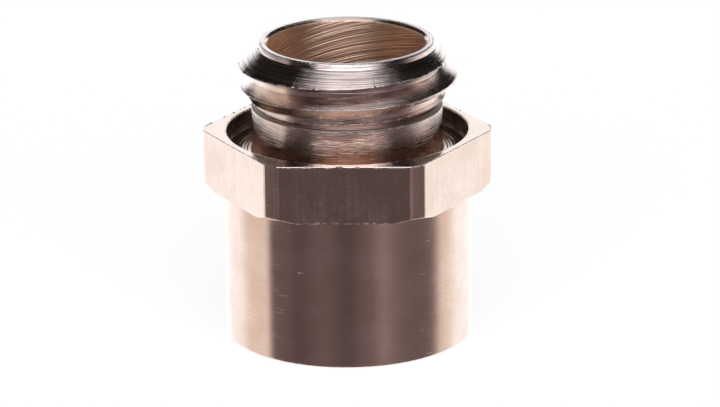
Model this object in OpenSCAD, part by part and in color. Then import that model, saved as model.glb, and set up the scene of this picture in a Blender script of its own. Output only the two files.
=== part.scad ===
// Metal cable gland: threaded entry neck, hexagon collar and plain sleeve, with
// the clamping parts stacked inside the sleeve. Units are millimetres. +Z runs
// along the entry thread and the origin is the middle of the sleeve's mouth.

/* [Entry thread] */
// outside diameter of the entry thread
thread_d = 12.0; // [11.9:0.05:12.1]
// distance from one thread crest to the next
thread_pitch = 1.5; // [1.5:0.05:1.75]
// diameter at the bottom of the thread groove
thread_root_d = 10.16; // [10.12:0.02:10.2]
// angle about Z, in degrees, where the groove would cross the level of the collar's seat
thread_start = 167; // [-180:1:180]
// width of the chamfer that leads into the thread
lead_chamfer = 1.2; // [1.1:0.05:1.25]

/* [Neck] */
// length of the neck above the hexagon collar
neck_len = 5.0; // [4.9:0.1:5.4]
// diameter of the plain part of the neck
neck_d = 10.4; // [10.3:0.05:10.5]
// diameter of the relief where the thread runs out
relief_d = 10.0; // [9.8:0.05:10.0]
// diameter of the through bore in the neck
bore_d = 8.6; // [8.2:0.1:8.6]

/* [Hexagon collar] */
// size across the flats
hex_af = 14.0; // [13.9:0.05:14.3]
// diameter that the six corners are turned down to
hex_corner_d = 15.7; // [15.5:0.05:15.9]
// height of the collar
hex_h = 3.2; // [2.9:0.1:4.0]
// inner edge of the chamfer under the collar, as a diameter
hex_chamfer_d = 14.9; // [14.0:0.1:14.9]

/* [Seal groove in the collar] */
// outside diameter of the ring groove round the neck
groove_d = 13.2; // [12.8:0.1:13.3]
// depth of the ring groove
groove_depth = 1.1; // [0.8:0.1:1.2]

/* [Sleeve] */
// outside diameter of the sleeve
sleeve_d = 13.5; // [13.4:0.05:13.6]
// length of the sleeve under the collar
sleeve_len = 8.3; // [8.1:0.1:12.0]
// diameter of the chamber that holds the clamping parts
chamber_d = 11.0; // [10.9:0.05:11.0]

/* [Clamping parts] */
// diameter of the cable hole in the sealing ring
seal_bore_d = 6.5; // [5.0:0.1:6.8]
// height of the relaxed sealing ring
seal_h = 4.6; // [4.2:0.1:4.6]
// diameter of the cable hole in the washers and the screw
cable_hole_d = 7.2; // [7.0:0.1:7.4]
// thickness of each slip washer
washer_t = 0.5; // [0.4:0.05:0.5]
// height of the pressure screw
screw_h = 3.0; // [2.6:0.1:3.0]
// width of the two driver slots in the screw
slot_w = 1.6; // [1.2:0.1:2.0]
// diameter over the clamping thread's grooves in the sleeve
clamp_d = 12.0; // [11.9:0.05:12.0]
// distance the screw moves in one turn
clamp_pitch = 1.0; // [1.0:0.05:1.1]

/* [Hidden] */
$fn = 120;

// radii
thread_r = thread_d / 2;
root_r = thread_root_d / 2;
neck_r = neck_d / 2;
relief_r = relief_d / 2;
bore_r = bore_d / 2;
groove_r = groove_d / 2;
sleeve_r = sleeve_d / 2;
chamber_r = chamber_d / 2;
corner_r = hex_corner_d / 2;
cable_r = cable_hole_d / 2;
clamp_r = clamp_d / 2;
hex_tip_r = hex_af / 2 / cos(30);

// heights of the body
z_collar = sleeve_len;
z_seat = z_collar + hex_h;
z_top = z_seat + neck_len;
z_relief = z_seat + 1.42;
relief_edge = 0.05;
relief_w = 0.05;
z_thread = z_relief + relief_edge + relief_w;
runout_slope = 1.32;
rim_land = 0.3;
shoulder_t = 2.5;
z_shoulder = z_seat - shoulder_t;

// stack of clamping parts, measured down from the shoulder
face_gap = 0.02;
z_front = z_shoulder - washer_t;
z_seal = z_front - face_gap - seal_h;
z_thrust = z_seal - face_gap - washer_t;
z_screw = z_thrust - face_gap - screw_h;
screw_travel = 1.2;

// fits and edges
slip_fit = 0.12;
thread_fit = 0.06;
flank_fit = 0.065;
ring_fit = 0.15;
edge = 0.3;
fine_edge = 0.1;
flare = 0.6;
slot_depth = 1.2;
slit_w = 0.2;
slit_web = 0.8;
mouth_r = clamp_r + 0.05;

// both threads have flanks at 30 degrees and are swept in short straight steps
turn_steps = 36;
flank = tan(30);
over = 0.1;
crest_half = 0.09;
root_half = thread_pitch / 2 - crest_half - (thread_r - root_r) * flank;
clear_of_neck = 0.02;
z_cut_low = z_relief + root_half + (neck_r - root_r) * flank + clear_of_neck;

// clamping thread: half widths of the sleeve's groove and of the screw's groove
clamp_tip_half = clamp_pitch / 16;
clamp_in_r = chamber_r - 0.2;
clamp_in_half = clamp_tip_half + (clamp_r - clamp_in_r) * flank;
screw_r = clamp_r - thread_fit;
screw_root_r = chamber_r - thread_fit;
screw_ridge_half = clamp_tip_half + (clamp_r - screw_root_r) * flank - flank_fit;
screw_groove_half = clamp_pitch / 2 - screw_ridge_half;
screw_cut_r = screw_r + 0.03;
z_clamp_end = z_screw + screw_h + screw_travel + 0.26;

// a four-cornered section, as [radius, height] pairs with its middle at height 0
function trapezoid(r_in, half_in, r_out, half_out) =
    [[r_in, -half_in], [r_out, -half_out], [r_out, half_out], [r_in, half_in]];

// the section turned to angle a and lifted to height z
function ring_at(section, a, z) =
    [for (p = section) [p[0] * cos(a), p[0] * sin(a), z + p[1]]];

// the two triangles between side j of ring i and the same side of the next ring
function side_faces(i, j) =
    let (a = 4 * i + j)
    let (b = 4 * i + (j + 1) % 4)
    [[a, b, a + 4], [b, b + 4, a + 4]];

// section swept up a right-hand helix that passes angle start at height 0
module helix(section, pitch, start, z_low, z_high) {
    count = ceil((z_high - z_low) / pitch * turn_steps);
    rise = pitch / turn_steps;
    rings = [for (i = [0:count])
        each ring_at(section, start + (z_low + i * rise) / pitch * 360, z_low + i * rise)];
    sides = [for (i = [0:count - 1]) for (j = [0:3]) each side_faces(i, j)];
    last = 4 * count;
    caps = [[3, 2, 1, 0], [last, last + 1, last + 2, last + 3]];
    polyhedron(points = rings, faces = concat(caps, sides), convexity = 8);
}

module entry_thread_cut() {
    cut_r = thread_r + over;
    top_half = root_half + (cut_r - root_r) * flank;
    start = thread_start - z_seat / thread_pitch * 360;
    helix(trapezoid(root_r, root_half, cut_r, top_half), thread_pitch, start, z_cut_low, z_top);
}

// groove of the clamping thread in the wall of the sleeve
module sleeve_thread_cut() {
    helix(trapezoid(clamp_in_r, clamp_in_half, clamp_r, clamp_tip_half), clamp_pitch, 0, -edge, z_clamp_end);
}

// groove that leaves the matching ridge on the screw, half a pitch away
module screw_thread_cut() {
    cut_half = screw_groove_half + (screw_cut_r - screw_root_r) * flank;
    z_low = z_screw - clamp_pitch / 2;
    z_high = z_screw + screw_h + clamp_pitch / 2;
    helix(trapezoid(screw_root_r, screw_groove_half, screw_cut_r, cut_half), clamp_pitch, 180, z_low, z_high);
}

module turned(profile) {
    rotate_extrude()
        polygon(profile);
}

// outside of the sleeve and neck, as one turned blank
module body_blank() {
    z_inside = z_collar + hex_h / 2;
    turned([
        [0, 0],
        [sleeve_r - fine_edge, 0],
        [sleeve_r, fine_edge],
        [sleeve_r, z_inside],
        [neck_r, z_inside],
        [neck_r, z_relief],
        [relief_r, z_relief + relief_edge],
        [relief_r, z_thread],
        [thread_r, z_thread + (thread_r - relief_r) * runout_slope],
        [thread_r, z_top - rim_land - lead_chamfer],
        [thread_r - lead_chamfer, z_top - rim_land],
        [thread_r - lead_chamfer, z_top],
        [0, z_top]]);
}

// hexagon with its corners turned down and chamfered underneath
module collar() {
    chamfer_h = (corner_r - hex_chamfer_d / 2) * flank;
    intersection() {
        translate([0, 0, z_collar])
            cylinder(r = hex_tip_r, h = hex_h, $fn = 6);
        turned([
            [0, z_collar],
            [hex_chamfer_d / 2, z_collar],
            [corner_r, z_collar + chamfer_h],
            [corner_r, z_seat],
            [0, z_seat]]);
    }
}

// ring groove round the foot of the neck
module seal_groove() {
    turned([
        [neck_r, z_seat - groove_depth],
        [groove_r, z_seat - groove_depth],
        [groove_r, z_seat + 1],
        [neck_r, z_seat + 1]]);
}

// chamber, shoulder and through bore
module cavity() {
    turned([
        [0, -1],
        [mouth_r + 1, -1],
        [chamber_r, mouth_r - chamber_r],
        [chamber_r, z_shoulder],
        [bore_r, z_shoulder],
        [bore_r, z_top + 1],
        [0, z_top + 1]]);
}

module gland_body() {
    color("lightgray")
        difference() {
            union() {
                body_blank();
                collar();
            }
            seal_groove();
            cavity();
            entry_thread_cut();
            sleeve_thread_cut();
        }
}

// flat washer with its four edges broken
module slip_washer(z) {
    out_r = chamber_r - slip_fit;
    turned([
        [cable_r + fine_edge, z],
        [out_r - fine_edge, z],
        [out_r, z + fine_edge],
        [out_r, z + washer_t - fine_edge],
        [out_r - fine_edge, z + washer_t],
        [cable_r + fine_edge, z + washer_t],
        [cable_r, z + washer_t - fine_edge],
        [cable_r, z + fine_edge]]);
}

module front_washer() {
    color("gray")
        slip_washer(z_front);
}

module thrust_washer() {
    color("gray")
        slip_washer(z_thrust);
}

// elastomer ring with a slit that lets the core be pushed out for a thicker cable
module sealing_ring() {
    out_r = chamber_r - ring_fit;
    in_r = seal_bore_d / 2;
    slit_r = (out_r + in_r) / 2;
    color("dimgray")
        difference() {
            turned([
                [in_r, z_seal + edge],
                [in_r + edge, z_seal],
                [out_r - edge, z_seal],
                [out_r, z_seal + edge],
                [out_r, z_seal + seal_h - edge],
                [out_r - edge, z_seal + seal_h],
                [in_r + edge, z_seal + seal_h],
                [in_r, z_seal + seal_h - edge]]);
            turned([
                [slit_r - slit_w / 2, z_seal - 1],
                [slit_r + slit_w / 2, z_seal - 1],
                [slit_r + slit_w / 2, z_seal + seal_h - slit_web],
                [slit_r - slit_w / 2, z_seal + seal_h - slit_web]]);
        }
}

// hollow screw with a flared cable entry, two driver slots and the clamping thread
module pressure_screw() {
    lead = screw_r - screw_root_r;
    color("silver")
        difference() {
            turned([
                [cable_r + flare, z_screw],
                [screw_root_r, z_screw],
                [screw_r, z_screw + lead],
                [screw_r, z_screw + screw_h - lead],
                [screw_root_r, z_screw + screw_h],
                [cable_r + fine_edge, z_screw + screw_h],
                [cable_r, z_screw + screw_h - fine_edge],
                [cable_r, z_screw + flare]]);
            for (a = [0, 180])
                rotate([0, 0, a])
                    translate([cable_r - 1, -slot_w / 2, z_screw - 1])
                        cube([clamp_r - cable_r + 2, slot_w, slot_depth + 1]);
            screw_thread_cut();
        }
}

gland_body();
front_washer();
sealing_ring();
thrust_washer();
pressure_screw();
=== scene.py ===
import math
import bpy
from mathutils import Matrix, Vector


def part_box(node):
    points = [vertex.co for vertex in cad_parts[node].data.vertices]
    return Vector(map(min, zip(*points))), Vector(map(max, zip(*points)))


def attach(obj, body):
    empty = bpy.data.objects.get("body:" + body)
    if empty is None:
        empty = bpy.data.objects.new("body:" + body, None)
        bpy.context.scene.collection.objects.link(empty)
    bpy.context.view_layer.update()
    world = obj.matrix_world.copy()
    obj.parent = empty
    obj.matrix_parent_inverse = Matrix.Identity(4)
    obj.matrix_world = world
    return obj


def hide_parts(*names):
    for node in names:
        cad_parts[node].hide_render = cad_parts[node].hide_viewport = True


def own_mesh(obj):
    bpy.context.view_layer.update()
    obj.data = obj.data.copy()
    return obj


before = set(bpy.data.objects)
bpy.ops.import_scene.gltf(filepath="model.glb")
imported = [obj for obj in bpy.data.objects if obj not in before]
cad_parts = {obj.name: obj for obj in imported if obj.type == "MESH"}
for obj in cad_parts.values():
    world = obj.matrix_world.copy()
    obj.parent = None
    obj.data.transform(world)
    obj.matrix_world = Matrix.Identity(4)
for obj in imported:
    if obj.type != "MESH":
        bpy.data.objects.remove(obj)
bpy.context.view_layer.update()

from types import SimpleNamespace

import bmesh
import bpy
import numpy as np
from mathutils import Quaternion, Vector

# The cable gland's looks: fine turned, threaded and moulded pieces that stand for the CAD nodes.
# Lengths are in millimetres here and become metres when a mesh is made. A piece is a closed
# profile of rows. A row holds a radius and a height for every column round the axis.
MM = 0.001
FLANK = math.tan(math.radians(30))


def box_mm(node):
    """A CAD node's lowest and highest corners, in millimetres."""
    return [np.array(corner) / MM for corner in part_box(node)]


body_high = box_mm("gland_body")[1]
seal_low, seal_high = box_mm("sealing_ring")
screw_low, screw_high = box_mm("pressure_screw")

# collar, sleeve and plain neck
NECK_LEN = 5.0
COLLAR_H = 3.2
GROOVE_DEPTH = 1.1
RELIEF_RISE = 1.42
RELIEF_EDGE = 0.05
Z_TOP = body_high[2]
Z_SEAT = Z_TOP - NECK_LEN
Z_COLLAR = Z_SEAT - COLLAR_H
Z_GROOVE = Z_SEAT - GROOVE_DEPTH
Z_RELIEF = Z_SEAT + RELIEF_RISE
Z_THREAD = Z_RELIEF + 2 * RELIEF_EDGE
HEX_R = body_high[1]
CORNER_R = body_high[0]
CORNER_ROUNDING = 0.05
SLEEVE_R = 6.75
UNDER_CHAMFER_R = 7.45
GROOVE_R = 6.6
NECK_R = 5.2
RELIEF_R = 5.0
BOTTOM_EDGE = 0.1
LIP_W = 0.09
LIP_H = 0.035

# entry thread and rim
THREAD_R = 6.0
THREAD_PITCH = 1.5
THREAD_START = 167.0
ROOT_R = 5.08
CREST_HALF = 0.09
ROOT_HALF = THREAD_PITCH / 2 - CREST_HALF - (THREAD_R - ROOT_R) * FLANK
RUNOUT_SLOPE = 1.32
LEAD_CHAMFER = 1.2
RIM_R = THREAD_R - LEAD_CHAMFER
RIM_LAND = 0.3
RIM_TAPER = 0.075
RIM_EDGE = 0.03
Z_RIM = Z_TOP - RIM_LAND
Z_LEAD = Z_RIM - LEAD_CHAMFER
BURR_H = 0.1

# bore, chamber and mouth
SHOULDER_DEPTH = 2.5
BORE_R = 4.3
BORE_EDGE = 0.15
Z_SHOULDER = Z_SEAT - SHOULDER_DEPTH
CHAMBER_R = 5.5
MOUTH_R = 6.05

# clamping thread, whose ridge on the screw runs in the groove of the sleeve
CLAMP_R = 6.0
CLAMP_PITCH = 1.0
CLAMP_TIP_HALF = CLAMP_PITCH / 16
Z_CLAMP_END = 4.8
RUN_OUT = 0.35
Z_CLAMP_FADED = Z_CLAMP_END + 2 * RUN_OUT
NO_FADE = Z_TOP + 9
EDGE_BREAK = 0.02

# screw, washers and ring
SCREW_ROOT_R = CHAMBER_R - 0.06
SCREW_GROOVE_HALF = 0.179
SCREW_R = screw_high[1]
NICK_DEPTH = 0.012
CABLE_R = 3.6
FLARE = 0.6
SLOT_W = 1.6
SLOT_DEPTH = 1.2
SLOT_OVERRUN = 0.8
SLOT_ROUNDING = 0.12
DIE_ROUNDING = 0.14
BROKEN_EDGE = 0.06
SEAL_BORE_R = 3.25
SEAL_ROUNDING = 0.3
SLIT_HALF = 0.1
SLIT_WEB = 0.8
PARTING_HALF = 0.06
PARTING_DEPTH = 0.03
SEAL_CROWN = 0.02

# columns of a lathe mesh
BODY_COLUMNS = 960
SCREW_COLUMNS = 480
RING_COLUMNS = 240


# ---------------------------------------------------------------- profiles

def row(r, z, theta):
    """One row of a profile, from numbers or arrays."""
    return np.stack([np.broadcast_to(r, theta.shape), np.broadcast_to(z, theta.shape)])


def soften(points, theta, arc=3, shoulder=0.12):
    """Rows along a polyline of (r, z, rounding) corners; the first and the last stay sharp.

    A close row stands on each side of a rounding, so that the faces beside it stay flat."""
    most_cut, most_near = 0.4, 0.48
    corners = [row(r, z, theta) for r, z, _ in points]
    rows = [corners[0]]
    for i in range(1, len(corners) - 1):
        here = corners[i]
        back = corners[i - 1] - here
        on = corners[i + 1] - here
        back_len = np.maximum(np.hypot(*back), 1e-6)
        on_len = np.maximum(np.hypot(*on), 1e-6)
        cut = np.minimum(points[i][2], most_cut * np.minimum(back_len, on_len))
        near_back = np.minimum(cut + shoulder, most_near * back_len)
        near_on = np.minimum(cut + shoulder, most_near * on_len)
        start = here + back / back_len * cut
        end = here + on / on_len * cut
        rows.append(here + back / back_len * near_back)
        for t in np.linspace(0, 1, arc + 1):
            rows.append((1 - t) ** 2 * start + 2 * t * (1 - t) * here + t**2 * end)
        rows.append(here + on / on_len * near_on)
    rows.append(corners[-1])
    return rows


def soft_min(a, b, width):
    """The lower of two values, with the meeting edge rounded over a width."""
    blend = np.clip(width - np.abs(a - b), 0, None) / width
    return np.minimum(a, b) - blend**2 * width / 4


def lumps(theta, count, width, seed, turns=1):
    """Random bumps and dips along an edge, repeating after some turns: its burrs and nicks.

    count is for each turn, and width is an angle in radians."""
    source = np.random.default_rng(seed)
    total = np.zeros_like(theta)
    half = math.pi * turns
    for centre, size, height in zip(
        source.uniform(0, 2 * half, count * turns),
        source.uniform(0.4, 1.6, count * turns) * width,
        source.uniform(-0.4, 1.0, count * turns) ** 3,
    ):
        away = np.abs((theta - centre + half) % (2 * half) - half)
        total += height * np.exp(-((away / size) ** 2))
    return total


def envelope(z, knots):
    """Radius of a turned blank at a height, from its (height, radius) corners."""
    heights, radii = zip(*knots)
    return np.interp(z, heights, radii)


def threaded(theta, knots, groove, rounding, fill):
    """Rows up a turned surface with a helical groove, with exact rows where its flanks meet the blank.

    groove gives pitch, start in degrees, root_r and half, its radius and half width at the root, side,
    +1 cut from outside and -1 from inside, fade_z, where it starts to run out to blank_r, and burr, a
    function of the angle along the helix and of the edge, +1 upper and -1 lower, that adds to the
    radius. Each step between rows is filled with so many more."""
    edge_rows = (-2.2, -0.8, 0, 0.8, 2.2)
    z_low, z_high = knots[0][0], knots[-1][0]
    side, pitch, half = groove["side"], groove["pitch"], groove["half"]
    base = pitch * (theta - math.radians(groove["start"])) / (2 * math.pi)
    first = math.floor((z_low - pitch - base.max()) / pitch)
    turns = math.ceil((z_high - z_low) / pitch) + 5
    centres = [base + (first + k) * pitch for k in range(turns)]

    def root(centre):
        fade = np.clip((groove["fade_z"] - centre) / RUN_OUT + 1, 0, 1)
        return groove["blank_r"] + (groove["root_r"] - groove["blank_r"]) * fade

    def cut_radius(z, centre):
        away = np.maximum(np.abs(z - centre) - half, 0)
        return root(centre) + side * away / FLANK

    def crossing(centre, way):
        """Height where a flank meets the blank, found by halving."""
        low = np.full_like(theta, half)
        high = np.full_like(theta, pitch)
        for _ in range(30):
            middle = (low + high) / 2
            z = centre + way * middle
            outside = side * (cut_radius(z, centre) - envelope(z, knots)) > 0
            high = np.where(outside, middle, high)
            low = np.where(outside, low, middle)
        return centre + way * low

    edges = [crossing(centre, way) for centre in centres for way in (-1, 1)]
    burrs = [
        groove["burr"](theta + 2 * math.pi * (first + k), way)
        for k in range(turns)
        for way in (-1, 1)
    ]
    heights = [np.full_like(theta, z) for z, _ in knots]
    for edge in edges:
        heights += [edge + d * rounding for d in edge_rows]
    for centre in centres:
        for way in (-1, 1):
            corner = centre + way * half
            heights += [corner - rounding, corner, corner + rounding]
    heights = np.sort(np.clip(np.stack(heights), z_low, z_high), axis=0)
    parts = [heights[:1]]
    for i in range(1, len(heights)):
        for t in np.arange(1, fill + 1) / fill:
            parts.append((heights[i - 1] + (heights[i] - heights[i - 1]) * t)[None])
    heights = np.concatenate(parts)

    radius = envelope(heights, knots)
    for centre in centres:
        cut = cut_radius(heights, centre[None])
        radius = side * soft_min(side * radius, side * cut, 1.2 * rounding)
    for edge, burr in zip(edges, burrs):
        bell = np.exp(-(((heights - edge) / (1.6 * rounding)) ** 2))
        radius = radius + side * burr * bell
    return [np.stack([radius[i], heights[i]]) for i in range(len(heights))]


# ---------------------------------------------------------------- meshes

def lathe(name, columns, make_rows):
    """A closed solid of revolution from make_rows(theta), which gives the rows of one closed profile."""
    theta = np.linspace(0, 2 * math.pi, columns + 1)
    rows = np.stack(make_rows(theta))
    count = len(rows)
    points = np.stack([rows[:, 0] * np.cos(theta), rows[:, 0] * np.sin(theta), rows[:, 1]], axis=-1) * MM
    column, line = np.meshgrid(np.arange(columns), np.arange(count))
    start = line * (columns + 1) + column
    above = (line + 1) % count * (columns + 1) + column
    quads = np.stack([start, start + 1, above + 1, above], axis=-1)
    mesh = bpy.data.meshes.new(name)
    mesh.from_pydata(points.reshape(-1, 3).tolist(), [], quads.reshape(-1, 4).tolist())
    clean(mesh)
    piece = bpy.data.objects.new(name, mesh)
    bpy.context.scene.collection.objects.link(piece)
    return piece


def clean(mesh):
    """Welds the seam and the rows that meet, drops faces with no area and turns the solid right side out."""
    weld, sliver = 2e-4 * MM, 1e-4 * MM
    work = bmesh.new()
    work.from_mesh(mesh)
    bmesh.ops.remove_doubles(work, verts=work.verts, dist=weld)
    bmesh.ops.dissolve_degenerate(work, edges=work.edges, dist=sliver)
    bmesh.ops.recalc_face_normals(work, faces=work.faces)
    if work.calc_volume(signed=True) < 0:
        bmesh.ops.reverse_faces(work, faces=work.faces)
    work.to_mesh(mesh)
    work.free()


def shade(piece, wear_and_glint=1.0):
    """Smooth shading with sharp edges, and a point attribute 'wear' that is high along convex edges."""
    sharp, folded, reach, passes = math.radians(38), 2.6, 0.05, 3
    full_wear, least_wear = 0.4, 0.15
    mesh = piece.data
    mesh.polygons.foreach_set("use_smooth", [True] * len(mesh.polygons))
    mesh.set_sharp_from_angle(angle=sharp)
    work = bmesh.new()
    work.from_mesh(mesh)
    wear = np.zeros(len(work.verts))
    links = []
    for edge in work.edges:
        a, b = edge.verts[0].index, edge.verts[1].index
        links.append((a, b))
        if len(edge.link_faces) == 2 and edge.is_convex:
            angle = edge.calc_face_angle(0)
            if angle < folded:
                wear[a] = max(wear[a], angle)
                wear[b] = max(wear[b], angle)
    work.free()
    links = np.array(links)
    places = np.zeros(len(mesh.vertices) * 3)
    mesh.vertices.foreach_get("co", places)
    places = places.reshape(-1, 3) / MM
    lengths = np.linalg.norm(places[links[:, 0]] - places[links[:, 1]], axis=1)
    fade = np.exp(-lengths / reach)
    for _ in range(passes):
        spread = wear.copy()
        np.maximum.at(spread, links[:, 0], wear[links[:, 1]] * fade)
        np.maximum.at(spread, links[:, 1], wear[links[:, 0]] * fade)
        wear = spread
    attribute = mesh.attributes.new("wear", "FLOAT", "POINT")
    wear = wear_and_glint * np.clip(wear / full_wear - least_wear, 0, 1)
    attribute.data.foreach_set("value", wear.astype(np.float32))


def place(piece, body, node, material):
    """The piece stands for a CAD node, rides its body and takes the given material."""
    piece.data.materials.append(material)
    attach(piece, body)
    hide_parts(node)


# ---------------------------------------------------------------- gland body

def hexagon(theta):
    """Radius of the collar: six flats, their corners turned down."""
    from_flat = (theta + math.pi) % (math.pi / 3) - math.pi / 6
    return soft_min(HEX_R / np.cos(from_flat), np.full_like(theta, CORNER_R), CORNER_ROUNDING)


def sleeve_and_collar(theta):
    """Rows from the mouth up the sleeve, over the collar and its groove, and up the plain neck."""
    across = hexagon(theta)
    under = np.minimum(across, UNDER_CHAMFER_R)
    z_under = Z_COLLAR + np.maximum(across - UNDER_CHAMFER_R, 0) * FLANK
    lip = LIP_H * np.clip(lumps(theta, 260, 0.012, 3), 0, 1)
    return soften(
        [
            (MOUTH_R, 0, 0),
            (MOUTH_R + 0.05, 0, 0.01),
            (SLEEVE_R - BOTTOM_EDGE, 0, 0.04),
            (SLEEVE_R, BOTTOM_EDGE, 0.04),
            (SLEEVE_R, Z_COLLAR, 0.06),
            (under, Z_COLLAR, 0.03),
            (across, z_under, 0.05),
            (across, Z_SEAT + lip, 0.05),
            (across - LIP_W, Z_SEAT, 0.02),
            (GROOVE_R, Z_SEAT, 0.05),
            (GROOVE_R, Z_GROOVE, 0.12),
            (NECK_R, Z_GROOVE, 0.12),
            (NECK_R, Z_RELIEF, 0.02),
            (RELIEF_R, Z_RELIEF + RELIEF_EDGE, 0.02),
            (RELIEF_R, Z_THREAD, 0),
        ],
        theta,
    )


def crest_burrs(angle, way):
    """Burrs of the entry thread: tall under each crest, hardly any above it."""
    return BURR_H * np.clip(lumps(angle, 70, 0.018, 40 + way, turns=9), -0.35, 0.25 + 0.2 * way)


def entry_thread(theta):
    """Rows up the run-out cone, the thread and the lead chamfer, to the rim's land."""
    blank = [
        (Z_THREAD, RELIEF_R),
        (Z_THREAD + (THREAD_R - RELIEF_R) * RUNOUT_SLOPE, THREAD_R),
        (Z_LEAD, THREAD_R),
        (Z_RIM - RIM_EDGE, RIM_R + RIM_EDGE),
        (Z_RIM, RIM_R),
    ]
    groove = {
        "pitch": THREAD_PITCH,
        "start": THREAD_START - Z_SEAT / THREAD_PITCH * 360,
        "root_r": ROOT_R,
        "half": ROOT_HALF,
        "side": 1,
        "fade_z": NO_FADE,
        "blank_r": THREAD_R,
        "burr": crest_burrs,
    }
    return threaded(theta, blank, groove, rounding=0.03, fill=2)


def rim_and_bore(theta):
    """Rows over the rim, down the bore and the shoulder, to the top of the clamping thread."""
    return soften(
        [
            (RIM_R, Z_RIM, 0),
            (RIM_R - RIM_TAPER * RIM_EDGE / RIM_LAND, Z_RIM + RIM_EDGE, 0),
            (RIM_R - RIM_TAPER, Z_TOP, 0.04),
            (BORE_R + BORE_EDGE, Z_TOP, 0.02),
            (BORE_R, Z_TOP - BORE_EDGE, 0.02),
            (BORE_R, Z_SHOULDER, 0.04),
            (CHAMBER_R, Z_SHOULDER, 0.1),
            (CHAMBER_R, Z_CLAMP_FADED, 0),
        ],
        theta,
    )


def clamping_thread(theta):
    """Rows from the mouth up the sleeve's inner thread, which runs out below the chamber."""
    blank = [
        (EDGE_BREAK, MOUTH_R - EDGE_BREAK),
        (MOUTH_R - CHAMBER_R, CHAMBER_R),
        (Z_CLAMP_FADED, CHAMBER_R),
    ]
    groove = {
        "pitch": CLAMP_PITCH,
        "start": 0,
        "root_r": CLAMP_R,
        "half": CLAMP_TIP_HALF,
        "side": -1,
        "fade_z": Z_CLAMP_END,
        "blank_r": CHAMBER_R,
        "burr": lambda angle, way: 0 * angle,
    }
    return threaded(theta, blank, groove, rounding=0.02, fill=1)


def body_rows(theta):
    outside = sleeve_and_collar(theta) + entry_thread(theta)
    return outside + rim_and_bore(theta)[1:] + clamping_thread(theta)[::-1]


# ---------------------------------------------------------------- washers, ring and screw

def washer_rows(node):
    """A stamped washer's profile: rounded by the die on its lower face, a broken edge on the upper one."""
    low, high = box_mm(node)
    out_r = high[1]
    corners = [
        (CABLE_R, low[2], DIE_ROUNDING),
        (out_r, low[2], DIE_ROUNDING),
        (out_r, high[2], BROKEN_EDGE),
        (CABLE_R, high[2], BROKEN_EDGE),
    ]
    return lambda theta: soften(corners + corners[:2], theta, arc=4, shoulder=0.08)[1:-1]


def seal_rows(theta):
    """The moulded ring: crowned bore and wall, a parting line, and the slit that frees its core."""
    in_r, out_r = SEAL_BORE_R, seal_high[1]
    z0, z1 = seal_low[2], seal_high[2]
    slit_in = (in_r + out_r) / 2 - SLIT_HALF
    slit_out = (in_r + out_r) / 2 + SLIT_HALF
    middle = (z0 + z1) / 2
    return soften(
        [
            (slit_out, z0, 0),
            (out_r, z0, SEAL_ROUNDING),
            (out_r, middle - PARTING_HALF, 0.02),
            (out_r - PARTING_DEPTH, middle, 0.02),
            (out_r, middle + PARTING_HALF, 0.02),
            (out_r, z1, SEAL_ROUNDING),
            (in_r, z1, SEAL_ROUNDING),
            (in_r + SEAL_CROWN, middle, 0.5),
            (in_r, z0, SEAL_ROUNDING),
            (slit_in, z0, 0.05),
            (slit_in, z1 - SLIT_WEB, 0.05),
            (slit_out, z1 - SLIT_WEB, 0.05),
            (slit_out, z0 + 0.5, 0),
        ],
        theta,
        arc=5,
    )


def screw_nicks(angle, way):
    return NICK_DEPTH * np.minimum(lumps(angle, 40, 0.02, 80 + way, turns=9), 0)


def screw_rows(theta):
    """The hollow screw: its ridge is what a helical groove leaves of the blank."""
    z0, z1 = screw_low[2], screw_high[2]
    lead = SCREW_R - SCREW_ROOT_R
    blank = [
        (z0 + EDGE_BREAK, SCREW_ROOT_R + EDGE_BREAK),
        (z0 + lead, SCREW_R),
        (z1 - lead, SCREW_R),
        (z1 - EDGE_BREAK, SCREW_ROOT_R + EDGE_BREAK),
    ]
    groove = {
        "pitch": CLAMP_PITCH,
        "start": 180,
        "root_r": SCREW_ROOT_R,
        "half": SCREW_GROOVE_HALF,
        "side": 1,
        "fade_z": NO_FADE,
        "blank_r": SCREW_R,
        "burr": screw_nicks,
    }
    outside = threaded(theta, blank, groove, rounding=0.02, fill=1)
    inside = soften(
        [
            (SCREW_ROOT_R + EDGE_BREAK, z1 - EDGE_BREAK, 0),
            (SCREW_ROOT_R - EDGE_BREAK, z1, 0.02),
            (CABLE_R, z1, 0.1),
            (CABLE_R, z0 + FLARE, 0.15),
            (CABLE_R + FLARE, z0, 0.06),
            (SCREW_ROOT_R - EDGE_BREAK, z0, 0.02),
            (SCREW_ROOT_R + EDGE_BREAK, z0 + EDGE_BREAK, 0),
        ],
        theta,
        arc=4,
    )
    return outside + inside[1:-1]


def slot_cutter():
    """Two blocks as wide as the driver slots, with the edges of the slots' floors rounded."""
    cutter = bmesh.new()
    for way in (-1, 1):
        for vert in bmesh.ops.create_cube(cutter, size=1)["verts"]:
            vert.co.x = way * (CABLE_R + CLAMP_R) / 2 + vert.co.x * (CLAMP_R - CABLE_R + 2 * SLOT_OVERRUN)
            vert.co.y *= SLOT_W
            vert.co.z = screw_low[2] + SLOT_DEPTH - (0.5 - vert.co.z) * (SLOT_DEPTH + 1)
    floor_edges = [e for e in cutter.edges if all(v.co.z > screw_low[2] for v in e.verts)]
    bmesh.ops.bevel(cutter, geom=floor_edges, offset=SLOT_ROUNDING, segments=3, affect="EDGES")
    bmesh.ops.scale(cutter, vec=(MM, MM, MM), verts=cutter.verts)
    mesh = bpy.data.meshes.new("slot_cutter")
    cutter.to_mesh(mesh)
    cutter.free()
    tool = bpy.data.objects.new("slot_cutter", mesh)
    bpy.context.scene.collection.objects.link(tool)
    return tool


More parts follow.
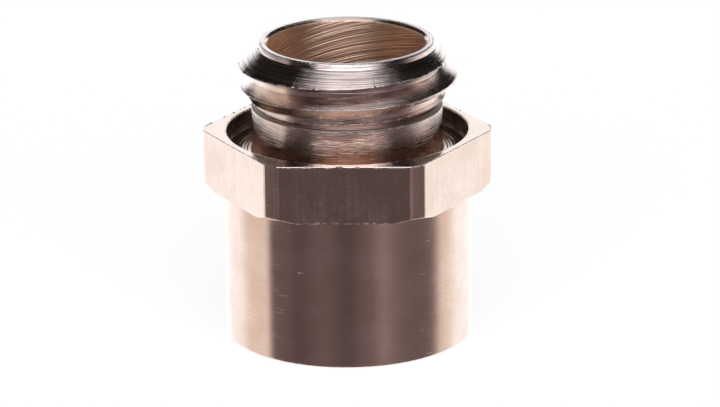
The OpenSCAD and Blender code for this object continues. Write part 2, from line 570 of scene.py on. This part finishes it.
def cut_slots(piece):
    """Cuts two driver slots across the screw's lower face."""
    tool = slot_cutter()
    cut = piece.modifiers.new("slots", "BOOLEAN")
    cut.operation = "DIFFERENCE"
    cut.solver = "EXACT"
    cut.object = tool
    result = bpy.data.meshes.new_from_object(piece.evaluated_get(bpy.context.evaluated_depsgraph_get()))
    piece.modifiers.clear()
    piece.data = result
    bpy.data.objects.remove(tool)
    clean(piece.data)


# ---------------------------------------------------------------- materials

class Nodes:
    """Short calls for building one node tree."""

    def __init__(self, tree):
        self.tree = tree
        tree.nodes.clear()

    def add(self, kind, inputs=(), **settings):
        node = self.tree.nodes.new(kind)
        for name, value in settings.items():
            setattr(node, name, value)
        for name, value in dict(inputs).items():
            self.feed(node.inputs[name], value)
        return node

    def feed(self, socket, value):
        if isinstance(value, bpy.types.NodeSocket):
            self.tree.links.new(value, socket)
        else:
            socket.default_value = value

    def math(self, operation, a, b=0.0):
        return self.add("ShaderNodeMath", {0: a, 1: b}, operation=operation).outputs[0]

    def times(self, value, *others):
        for other in others:
            value = self.math("MULTIPLY", value, other)
        return value

    def plus(self, value, *others):
        for other in others:
            value = self.math("ADD", value, other)
        return value

    def minus(self, a, b):
        return self.math("SUBTRACT", a, b)

    def size_of(self, value):
        return self.math("ABSOLUTE", value)

    def over(self, value, limit):
        return self.math("GREATER_THAN", value, limit)

    def under(self, value, limit):
        return self.math("LESS_THAN", value, limit)

    def vector(self, operation, a, b=(0, 0, 0), scale=1.0):
        node = self.add("ShaderNodeVectorMath", {0: a, 1: b, 3: scale}, operation=operation)
        return node.outputs["Value" if operation == "LENGTH" else "Vector"]

    def noise(self, vector, scale, detail=3.0, roughness=0.55):
        inputs = {"Vector": vector, "Scale": scale, "Detail": detail, "Roughness": roughness}
        return self.add("ShaderNodeTexNoise", inputs).outputs["Fac"]

    def between(self, value, low, high, to_low=0.0, to_high=1.0):
        """A smooth step: to_low up to the value low, to_high from the value high."""
        inputs = {"Value": value, "From Min": low, "From Max": high, "To Min": to_low, "To Max": to_high}
        return self.add("ShaderNodeMapRange", inputs, interpolation_type="SMOOTHSTEP").outputs["Result"]

    def fall(self, value, low, high):
        return self.between(value, low, high, 1.0, 0.0)

    def choose(self, where, a, b):
        return self.add("ShaderNodeMix", {"Factor": where, 2: a, 3: b}).outputs[0]

    def mix(self, factor, a, b):
        node = self.add("ShaderNodeMix", {"Factor": factor}, data_type="RGBA")
        self.feed(node.inputs[6], a)
        self.feed(node.inputs[7], b)
        return node.outputs[2]

    def combine(self, x, y, z):
        return self.add("ShaderNodeCombineXYZ", {"X": x, "Y": y, "Z": z}).outputs[0]

    def wear(self):
        return self.add("ShaderNodeAttribute", attribute_name="wear").outputs["Fac"]

    def finish(self, tint, roughness, relief, depth, **constants):
        """The shader of a solid, with bumps of a depth in millimetres."""
        bump = self.add("ShaderNodeBump", {"Height": relief, "Distance": depth * MM, "Strength": 1.0})
        inputs = {"Base Color": tint, "Roughness": roughness, "Normal": bump.outputs[0], **constants}
        shader = self.add("ShaderNodeBsdfPrincipled", inputs)
        self.add("ShaderNodeOutputMaterial", {"Surface": shader.outputs[0]})


def rgb(r, g, b):
    return (r, g, b, 1.0)


def new_material(name):
    material = bpy.data.materials.new(name)
    material.use_nodes = True
    return material, Nodes(material.node_tree)


def lathe_space(n):
    """A point's place in millimetres, radius, direction from the axis, height and how far it faces up."""
    coords = n.add("ShaderNodeTexCoord")
    place_mm = n.vector("SCALE", coords.outputs["Object"], scale=1 / MM)
    flat = n.vector("MULTIPLY", place_mm, (1, 1, 0))
    return SimpleNamespace(
        place=place_mm,
        radius=n.vector("LENGTH", flat),
        outward=n.add("ShaderNodeSeparateXYZ", {0: n.vector("NORMALIZE", flat)}).outputs,
        height=n.add("ShaderNodeSeparateXYZ", {0: place_mm}).outputs["Z"],
        upward=n.add("ShaderNodeSeparateXYZ", {0: coords.outputs["Normal"]}).outputs["Z"],
    )


def body_regions(n, at):
    """Masks that are 1 on one region of the turned metal and 0 off it."""
    wall, level = 0.35, 0.7
    upright = n.under(n.size_of(at.upward), wall)
    outer = n.over(at.radius, BORE_R + 0.1)
    neck = n.times(n.over(at.height, Z_GROOVE + 0.1), outer, n.under(at.radius, THREAD_R + 0.05))
    grooved = n.times(n.under(at.height, Z_SEAT - 0.03), n.under(at.radius, GROOVE_R + 0.02))
    grooved = n.times(grooved, n.over(at.radius, NECK_R + 0.05))
    from_ledge = n.size_of(n.minus(at.height, Z_RELIEF + RELIEF_EDGE / 2))
    return SimpleNamespace(
        flat=n.times(n.over(at.radius, SLEEVE_R + 0.15), upright),
        neck=neck,
        lead=n.times(neck, n.over(at.height, Z_LEAD)),
        ledge=n.times(neck, n.fall(from_ledge, 0.04, 0.1)),
        bore=n.times(n.over(at.height, Z_SHOULDER + 0.01), n.under(at.radius, BORE_R + 0.02)),
        groove=grooved,
        floor=n.times(grooved, n.over(at.upward, level)),
    )


def turning_marks(n, at, around, per_mm):
    """Noise drawn out round the axis, with so many cells a millimetre up a wall or across a face."""
    face_share = 0.73
    along = n.minus(at.height, n.times(at.radius, face_share))
    x = n.times(at.outward["X"], around)
    y = n.times(at.outward["Y"], around)
    return n.noise(n.combine(x, y, n.times(along, per_mm)), 1.0, 2)


def bore_swirl(n, at):
    """Marks of the boring tool: noise wound into a steep helix."""
    lead_mm, cells = 6, 8
    angle = n.math("ARCTAN2", at.outward["Y"], at.outward["X"])
    wound = n.plus(n.times(at.height, 2 * math.pi / lead_mm), angle)
    x = n.times(n.math("COSINE", wound), cells)
    y = n.times(n.math("SINE", wound), cells)
    return n.noise(n.combine(x, y, n.times(at.height, 0.25)), 1.0, 3, 0.6)


def hairlines(n, at, turn, seed):
    """Short straight scratches, nearly parallel, turned about the Y axis."""
    inputs = {"Vector": at.place, "Rotation": (0.3, turn, 0.1 * seed), "Scale": (0.5, 0.5, 40)}
    space = n.add("ShaderNodeMapping", inputs)
    return n.between(n.noise(space.outputs[0], 1.0, 1), 0.755, 0.775)


def turned_metal(name):
    """Plated metal with turning marks, clouded tint, small stains and hairlines. Its worn edges are tinted
    near-white, partly wear and partly a painted highlight. The neck is tinted paler as painted light, and
    the neck's ledge and the groove's walls are darkened as painted shade.
    """
    # The third colour tints worn edges near-white: partly wear, partly a painted highlight along the edges.
    base, dark, wear_and_glint = rgb(0.82, 0.64, 0.55), rgb(0.70, 0.53, 0.44), rgb(0.98, 0.92, 0.87)
    rough, mark_depth = 0.13, 0.004
    material, n = new_material(name)
    at = lathe_space(n)
    on = body_regions(n, at)

    coarse = turning_marks(n, at, 0.8, 12.0)
    fine = turning_marks(n, at, 2.2, 42.0)
    streaks = n.noise(n.vector("MULTIPLY", at.place, (7, 7, 0.07)), 1.0, 2)
    rings = n.noise(n.combine(n.times(at.radius, 3.2), 0.0, 0.0), 1.0, 2)
    marks = n.plus(n.times(coarse, 0.35), n.times(fine, 0.65))
    marks = n.choose(on.flat, marks, streaks)
    marks = n.choose(on.bore, marks, bore_swirl(n, at))
    marks = n.choose(on.floor, marks, rings)

    clouds = n.noise(at.place, 0.55, 4)
    spots = n.between(n.noise(at.place, 4.0, 2), 0.72, 0.8)
    scratches = n.math("MAXIMUM", hairlines(n, at, 0.9, 1), hairlines(n, at, -0.6, 2))
    scratches = n.times(scratches, n.between(clouds, 0.5, 0.56))
    # Worn edges broken up by noise. Their near-white tint below is partly wear and partly a painted
    # highlight.
    edge_wear_and_glint = n.times(n.wear(), n.between(n.noise(at.place, 3.0, 3), 0.42, 0.62, 0.15, 1.0))

    tint = n.mix(n.between(clouds, 0.3, 0.7), dark, base)
    for amount, colour in (
        (n.between(marks, 0.35, 0.62, 0.6, 0.0), dark),
        (n.times(spots, 0.4), dark),
        # Near-white on worn edges and hairlines: wear, and on the edges also a painted highlight.
        (n.math("MAXIMUM", edge_wear_and_glint, n.times(scratches, 0.12)), wear_and_glint),
        # Painted shade: a dark band on the ledge at the top of the neck, which hides its reflection.
        (n.times(on.ledge, 0.85), rgb(0.22, 0.17, 0.15)),
        # Painted light: the neck, off the ledge, is tinted paler so that it looks brighter.
        (n.times(n.minus(on.neck, on.ledge), 0.6), rgb(0.80, 0.69, 0.64)),
        (n.times(on.neck, n.between(fine, 0.38, 0.5, 0.3, 0.0)), rgb(0.34, 0.27, 0.25)),
        (n.times(on.lead, n.between(coarse, 0.42, 0.56, 0.85, 0.0)), rgb(0.30, 0.24, 0.24)),
        (n.times(on.bore, 0.8), rgb(0.90, 0.62, 0.45)),
        # Painted shade: the groove's walls, off its floor, are tinted dark.
        (n.times(n.minus(on.groove, on.floor), 0.25), rgb(0.2, 0.16, 0.15)),
    ):
        tint = n.mix(amount, tint, colour)

    roughness = n.plus(
        rough,
        n.times(n.minus(clouds, 0.5), 0.1),
        n.times(n.minus(marks, 0.5), 0.12),
        n.times(spots, 0.1),
        n.times(edge_wear_and_glint, 0.42),
        n.plus(n.times(on.bore, 0.2), n.times(on.floor, 0.05), n.times(on.ledge, 0.25)),
    )
    depth = n.plus(
        1.0, n.times(on.neck, 2.8), n.times(on.lead, -1.0), n.times(on.bore, 11.0), n.times(on.floor, 22.0)
    )
    relief = n.minus(n.times(marks, depth), n.times(scratches, 0.4))
    relief = n.plus(relief, n.times(n.noise(at.place, 0.9, 1), 0.5))
    n.finish(tint, roughness, relief, mark_depth, Metallic=1.0)
    return material


def stamped_steel(name):
    """Zinc-plated sheet: fine crystalline plating, faint rolling lines, dull patches, bright edges."""
    material, n = new_material(name)
    at = lathe_space(n)
    rolled = n.noise(n.vector("MULTIPLY", at.place, (0.6, 14, 3)), 1.0, 4)
    grain = n.noise(at.place, 16.0, 2)
    clouds = n.noise(at.place, 0.9, 4)
    tint = n.mix(n.between(clouds, 0.3, 0.7), rgb(0.36, 0.37, 0.39), rgb(0.55, 0.55, 0.56))
    tint = n.mix(n.times(rolled, 0.4), tint, rgb(0.62, 0.61, 0.6))
    tint = n.mix(n.times(n.wear(), 0.7), tint, rgb(0.75, 0.74, 0.72))
    roughness = n.plus(0.26, n.times(clouds, 0.2))
    relief = n.plus(n.times(rolled, 0.6), n.times(grain, 0.4))
    n.finish(tint, roughness, relief, 0.004, Metallic=1.0)
    return material


def moulded_rubber(name):
    """Dark elastomer: fine mould grain, pale dust and edges that shine a little from handling."""
    material, n = new_material(name)
    at = lathe_space(n)
    grain = n.noise(at.place, 9.0, 4)
    clouds = n.noise(at.place, 0.8, 4)
    dust = n.between(n.noise(at.place, 2.4, 5, 0.7), 0.52, 0.75)
    wear = n.wear()
    tint = n.mix(clouds, rgb(0.012, 0.012, 0.013), rgb(0.03, 0.029, 0.028))
    tint = n.mix(n.times(dust, 0.3), tint, rgb(0.12, 0.115, 0.105))
    tint = n.mix(n.times(wear, 0.35), tint, rgb(0.06, 0.058, 0.055))
    roughness = n.minus(n.plus(0.52, n.times(grain, 0.2)), n.times(wear, 0.12))
    n.finish(tint, roughness, grain, 0.012)
    return material


# ---------------------------------------------------------------- stage, light and camera

# Angles are in degrees. Azimuth 0 is towards -Y and 90 towards +X. The room's bands are (azimuth,
# brightness).
ROOM_BANDS = [
    (-80, 1.65), (-60, 1.45), (-47, 1.1), (-23, 1.5), (0, 1), (20, 1.6),
    (34, 2.8), (48, 2.0), (62, 1.6), (75, 1.6), (88, 2.2),
]
ROOM_LIGHT = (0.1135, 0.0905, 0.0968)
LOW_LIGHT = rgb(0.02, 0.016, 0.015)
CEILING_LIGHT = rgb(0.02, 0.018, 0.017)
SIDE_PANEL_LIGHT = rgb(0.96, 0.89, 0.84)
BACK_PANEL_LIGHT = rgb(1.3, 1.38, 1.45)
BOX_LIGHT = rgb(2.9, 3.0, 3.2)
BOX_AZIMUTH = 3
OVERHEAD_SHARE = 0.32

# A pair gives the two ends of a fading edge.
HORIZON = (-9, 3)
LEFT_PANEL = (-82, -74)
RIGHT_PANEL = (86, 100)
BACK_PANEL = (100, 126)
BOX_SIDES = (34, 44)
BOX_BOTTOM = (6, 18)
BOX_TOP = (56, 68)
OVERHEAD_BOTTOM = (48, 58)

# The overhead box's other edges are X or Y over Z, not in degrees.
OVERHEAD_SIDES = (0.42, 0.5)
OVERHEAD_BACK = (0.14, 0.26)

# The panels' tops rise, as they turn from the sides to the back, from one elevation to another.
PANEL_RISE = (150, 174)
PANEL_TOPS = (6, 20)
PANEL_TOP_FADE = 7

FLOOR_R = 1.5
FLOOR_LIGHT = 0.87
FLOOR_DIFFUSE = 0.2
DOME_R = 3

CAMERA_AZIMUTH = 1.65
CAMERA_ELEVATION = 17.94
CAMERA_ROLL = -0.615
CAMERA_DISTANCE = 0.2548
CAMERA_LENS = 232.7
CAMERA_SHIFT = (0.0168, -0.0223)
CAMERA_TARGET = Vector((0, 0, 0.0081))


def stage_material(name, brightness, diffuse):
    """Pale paper that glows evenly and keeps a faint shadow. Its back is clear."""
    material, n = new_material(name)
    glow = n.add("ShaderNodeEmission", {"Color": rgb(1, 1, 1), "Strength": brightness})
    paper = n.add("ShaderNodeBsdfDiffuse", {"Color": rgb(diffuse, diffuse, diffuse)})
    both = n.add("ShaderNodeAddShader", {0: glow.outputs[0], 1: paper.outputs[0]})
    clear = n.add("ShaderNodeBsdfTransparent")
    behind = n.add("ShaderNodeNewGeometry").outputs["Backfacing"]
    surface = n.add("ShaderNodeMixShader", {0: behind, 1: both.outputs[0], 2: clear.outputs[0]})
    n.add("ShaderNodeOutputMaterial", {"Surface": surface.outputs[0]})
    return material


def stage_piece(name, work, material):
    """An object of the stage, from a bmesh. Metal doesn't reflect it."""
    mesh = bpy.data.meshes.new(name)
    work.to_mesh(mesh)
    work.free()
    piece = bpy.data.objects.new(name, mesh)
    piece.data.materials.append(material)
    bpy.context.scene.collection.objects.link(piece)
    piece.visible_glossy = False
    piece.visible_transmission = False
    return piece


def build_stage():
    """A round pale floor under the gland, and a pale dome round it that lights and shades nothing."""
    work = bmesh.new()
    bmesh.ops.create_circle(work, cap_ends=True, segments=96, radius=FLOOR_R)
    stage_piece("floor", work, stage_material("floor_paper", FLOOR_LIGHT, FLOOR_DIFFUSE))
    work = bmesh.new()
    bmesh.ops.create_icosphere(work, subdivisions=4, radius=DOME_R)
    bmesh.ops.reverse_faces(work, faces=work.faces)
    dome = stage_piece("backdrop", work, stage_material("backdrop_paper", 1.0, 0.0))
    dome.visible_diffuse = False
    dome.visible_shadow = False


def by_azimuth(n, azimuth, stops):
    """A smooth brightness round the horizon, from (azimuth, brightness) stops."""
    ramp = n.add("ShaderNodeValToRGB", {"Fac": n.plus(n.math("DIVIDE", azimuth, 2 * math.pi), 0.5)})
    ramp.color_ramp.interpolation = "EASE"
    peak = max(level for _, level in stops)
    points = ramp.color_ramp.elements
    while len(points) < len(stops):
        points.new(0.5)
    for point, (degrees, level) in zip(points, stops):
        point.position = degrees / 360 + 0.5
        point.color = rgb(level / peak, level / peak, level / peak)
    return n.times(ramp.outputs["Color"], peak)


def room_and_panels(n, azimuth, elevation):
    """The room's colour in a direction: dark in front, white panels beside and behind, dark ceiling."""
    turn = n.math("DEGREES", azimuth)
    turned_away = n.size_of(turn)
    room = n.vector("SCALE", ROOM_LIGHT, scale=by_azimuth(n, azimuth, ROOM_BANDS))
    room = n.mix(n.between(elevation, *HORIZON), room, LOW_LIGHT)
    panels = n.mix(n.between(turned_away, *BACK_PANEL), SIDE_PANEL_LIGHT, BACK_PANEL_LIGHT)
    left = n.fall(turn, *LEFT_PANEL)
    right = n.between(turn, *RIGHT_PANEL)
    colour = n.mix(n.math("MAXIMUM", left, right), room, panels)
    panel_top = n.between(turned_away, *PANEL_RISE, *PANEL_TOPS)
    above = n.between(n.minus(elevation, panel_top), 0, PANEL_TOP_FADE)
    return n.mix(above, colour, CEILING_LIGHT)


def soft_boxes(n, axes, azimuth, elevation):
    """How much of the soft boxes' light comes from a direction: a large one in front, a dim one overhead."""
    off_centre = n.math("DEGREES", n.size_of(n.minus(azimuth, math.radians(BOX_AZIMUTH))))
    sides = n.fall(off_centre, *BOX_SIDES)
    front = n.times(sides, n.between(elevation, *BOX_BOTTOM), n.fall(elevation, *BOX_TOP))
    aside = n.math("DIVIDE", n.size_of(axes["X"]), axes["Z"])
    behind = n.math("DIVIDE", axes["Y"], axes["Z"])
    overhead = n.times(n.fall(aside, *OVERHEAD_SIDES), n.fall(behind, *OVERHEAD_BACK))
    overhead = n.times(overhead, n.between(elevation, *OVERHEAD_BOTTOM))
    return n.math("MAXIMUM", front, n.times(overhead, OVERHEAD_SHARE))


def build_light():
    """Lights the scene with a studio drawn in the world's colours."""
    world = bpy.data.worlds.new("studio")
    bpy.context.scene.world = world
    world.use_nodes = True
    n = Nodes(world.node_tree)
    direction = n.add("ShaderNodeTexCoord").outputs["Generated"]
    axes = n.add("ShaderNodeSeparateXYZ", {0: direction}).outputs
    azimuth = n.math("ARCTAN2", axes["X"], n.times(axes["Y"], -1))
    elevation = n.math("DEGREES", n.math("ARCSINE", axes["Z"]))
    boxes = soft_boxes(n, axes, azimuth, elevation)
    colour = n.mix(boxes, room_and_panels(n, azimuth, elevation), BOX_LIGHT)
    background = n.add("ShaderNodeBackground", {"Color": colour, "Strength": 1.0})
    n.add("ShaderNodeOutputWorld", {"Surface": background.outputs[0]})


def build_camera():
    """Looks a little down at the gland from -Y, from a long way off for its size."""
    azimuth, elevation = math.radians(CAMERA_AZIMUTH), math.radians(CAMERA_ELEVATION)
    level = math.cos(elevation)
    back = Vector((math.sin(azimuth) * level, -math.cos(azimuth) * level, math.sin(elevation)))
    camera = bpy.data.objects.new("camera", bpy.data.cameras.new("camera"))
    camera.location = CAMERA_TARGET + back * CAMERA_DISTANCE
    roll = Quaternion((0, 0, 1), math.radians(CAMERA_ROLL))
    camera.rotation_euler = ((-back).to_track_quat("-Z", "Y") @ roll).to_euler()
    camera.data.lens = CAMERA_LENS
    camera.data.sensor_width = 36
    camera.data.shift_x, camera.data.shift_y = CAMERA_SHIFT
    camera.data.clip_start = 0.01
    bpy.context.scene.collection.objects.link(camera)
    bpy.context.scene.camera = camera


# ---------------------------------------------------------------- the scene

nickel = turned_metal("plated_nickel")
steel = stamped_steel("washer_steel")
rubber = moulded_rubber("seal_rubber")

body = lathe("gland_body_turned", BODY_COLUMNS, body_rows)
shade(body)
place(body, "gland_body", "gland_body", nickel)

for node, rides_on in (("front_washer", "gland_body"), ("thrust_washer", "thrust_washer")):
    washer = lathe(node + "_stamped", RING_COLUMNS, washer_rows(node))
    shade(washer)
    place(washer, rides_on, node, steel)

seal = lathe("sealing_ring_moulded", RING_COLUMNS, seal_rows)
shade(seal)
place(seal, "gland_body", "sealing_ring", rubber)
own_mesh(seal)

screw = lathe("pressure_screw_turned", SCREW_COLUMNS, screw_rows)
cut_slots(screw)
shade(screw, wear_and_glint=0.3)
place(screw, "pressure_screw", "pressure_screw", nickel)

build_stage()
build_light()
build_camera()
bpy.context.scene.view_settings.view_transform = "Standard"
